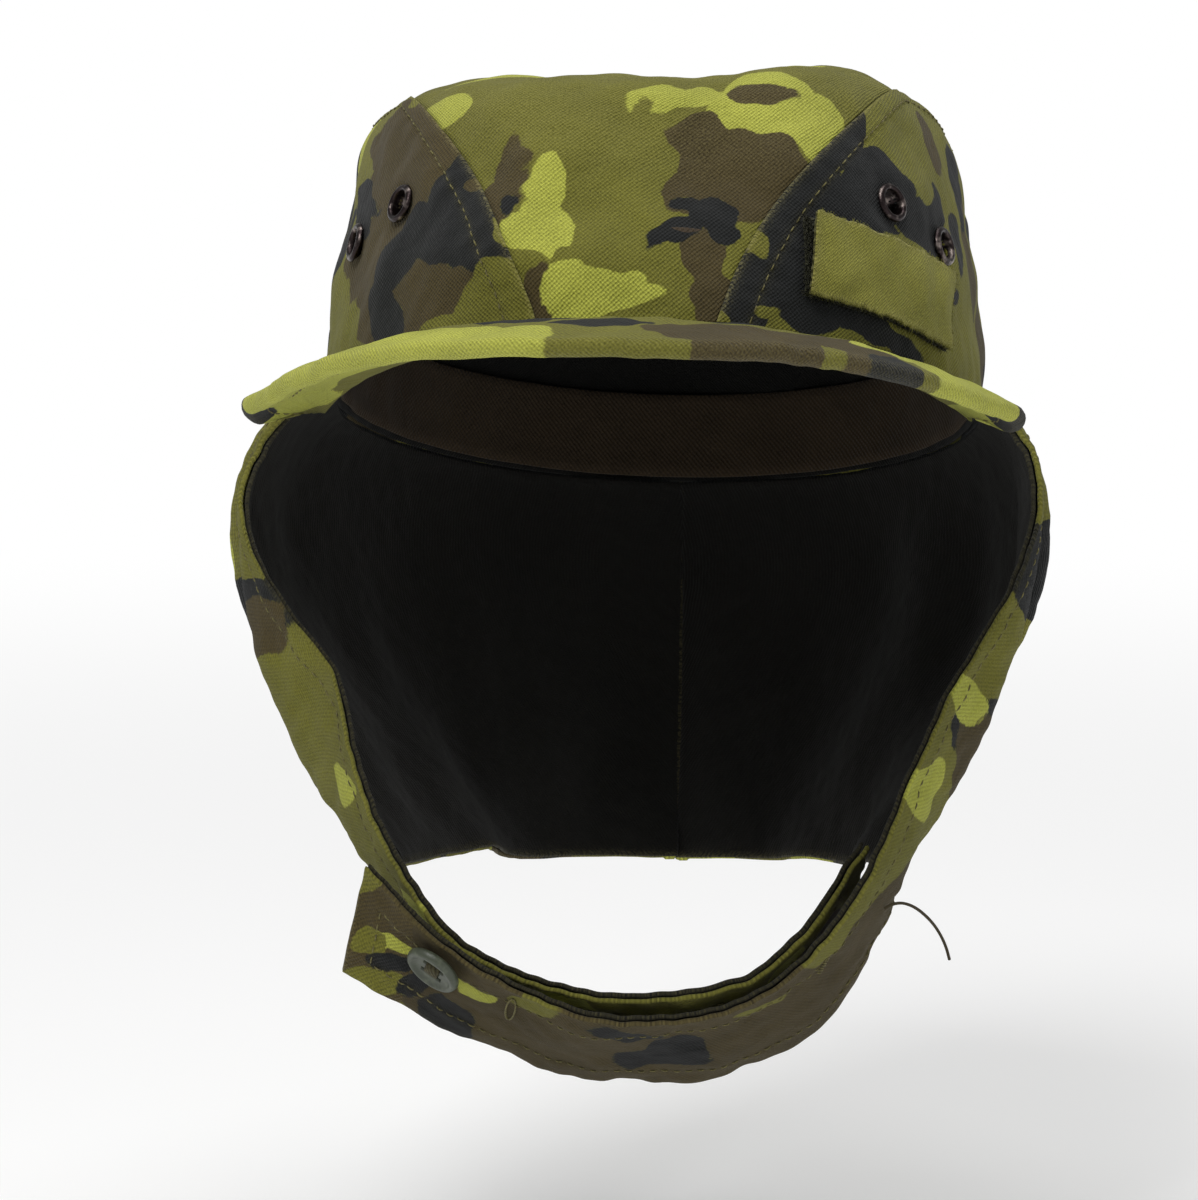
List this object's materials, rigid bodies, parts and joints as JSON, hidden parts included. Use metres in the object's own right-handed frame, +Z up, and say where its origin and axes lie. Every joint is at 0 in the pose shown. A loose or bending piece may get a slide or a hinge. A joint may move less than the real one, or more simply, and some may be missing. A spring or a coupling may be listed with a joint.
{
  "type": "camouflage field cap with face flap",
  "caption": "Camouflage field cap with a curved visor, eyelets, a hook-and-loop patch and a neck, ear and cheek flap whose straps button under the chin.",
  "frame": {"origin": "centre of the crown's base edge, the plane in which a head carries the cap", "axes": "+Z up, +Y towards the back of the head, +X towards the wearer's left; the crown leans back by 19.5 degrees"},
  "size_m": [0.2083, 0.2615, 0.2567],
  "materials": {
    "crown_camo_twill": "matte printed twill in lime, olive, brown and near-black camouflage",
    "visor_camo_twill": "matte printed twill, lime and olive with brown",
    "flap_camo_twill": "matte printed twill, olive, brown and near-black",
    "lining_twill": "dark matte plain cotton",
    "sweatband_cotton": "folded cotton band",
    "blackened_brass": "blackened, worn, satin",
    "visor_board": "matte moulded sheet",
    "loop_pile": "dark looped pile",
    "hook_tape": "fine moulded hooks",
    "patch_web": "olive woven web with frayed edges",
    "button_plastic": "grey-green, slightly glossy",
    "button_tape_cotton": "narrow woven tape",
    "sewing_thread": "loose dark twisted thread"
  },
  "bodies": {
    "cap": {"crown_center_panel": "crown_camo_twill", "crown_side_panel_left": "crown_camo_twill", "crown_side_panel_right": "crown_camo_twill", "crown_lining_center": "lining_twill", "crown_lining_left": "lining_twill", "crown_lining_right": "lining_twill", "sweatband": "sweatband_cotton", "eyelet_left_front": "blackened_brass", "eyelet_left_rear": "blackened_brass", "eyelet_right_front": "blackened_brass", "eyelet_right_rear": "blackened_brass", "eyelet_washer_left_front": "blackened_brass", "eyelet_washer_left_rear": "blackened_brass", "eyelet_washer_right_front": "blackened_brass", "eyelet_washer_right_rear": "blackened_brass", "visor_top_cover": "visor_camo_twill", "visor_under_cover": "visor_camo_twill", "visor_stiffener": "visor_board", "patch_loop_base": "loop_pile", "neck_curtain_left": "flap_camo_twill", "neck_curtain_right": "flap_camo_twill", "neck_curtain_left_lining": "lining_twill", "neck_curtain_right_lining": "lining_twill"},
    "left_flap": {"cheek_flap_left": "flap_camo_twill", "cheek_flap_left_lining": "lining_twill", "chin_button": "button_plastic", "button_tape": "button_tape_cotton", "loose_thread": "sewing_thread"},
    "right_flap": {"cheek_flap_right": "flap_camo_twill", "cheek_flap_right_lining": "lining_twill"},
    "tip": {"strap_tip": "flap_camo_twill", "strap_tip_lining": "lining_twill"},
    "patch": {"patch_cover": "patch_web", "patch_hook_backing": "hook_tape"}
  },
  "joints": [
    {"name": "left_flap_swing", "type": "hinge", "parent": "cap", "child": "left_flap", "pos_m": [0.0951, -0.0231, -0.0576], "axis": [0.3773, -0.2246, 0.8984], "range_deg": [0, 100]},
    {"name": "right_flap_swing", "type": "hinge", "parent": "cap", "child": "right_flap", "pos_m": [-0.1015, -0.0225, -0.06], "axis": [0.4001, 0.2223, -0.8891], "range_deg": [0, 80]},
    {"name": "strap_tip_bend", "type": "hinge", "parent": "left_flap", "child": "tip", "pos_m": [-0.0573, -0.066, -0.1332], "axis": [0.1827, -0.4639, 0.8669], "range_deg": [-8, 75]},
    {"name": "patch_peel", "type": "hinge", "parent": "cap", "child": "patch", "pos_m": [0.0779, -0.0422, 0.0305], "axis": [-0.0237, 0.3481, 0.9372], "range_deg": [0, 110]}
  ],
  "couplings": [
    {"joint": "right_flap_swing", "follows": "left_flap_swing", "ratio": 0.8}
  ]
}
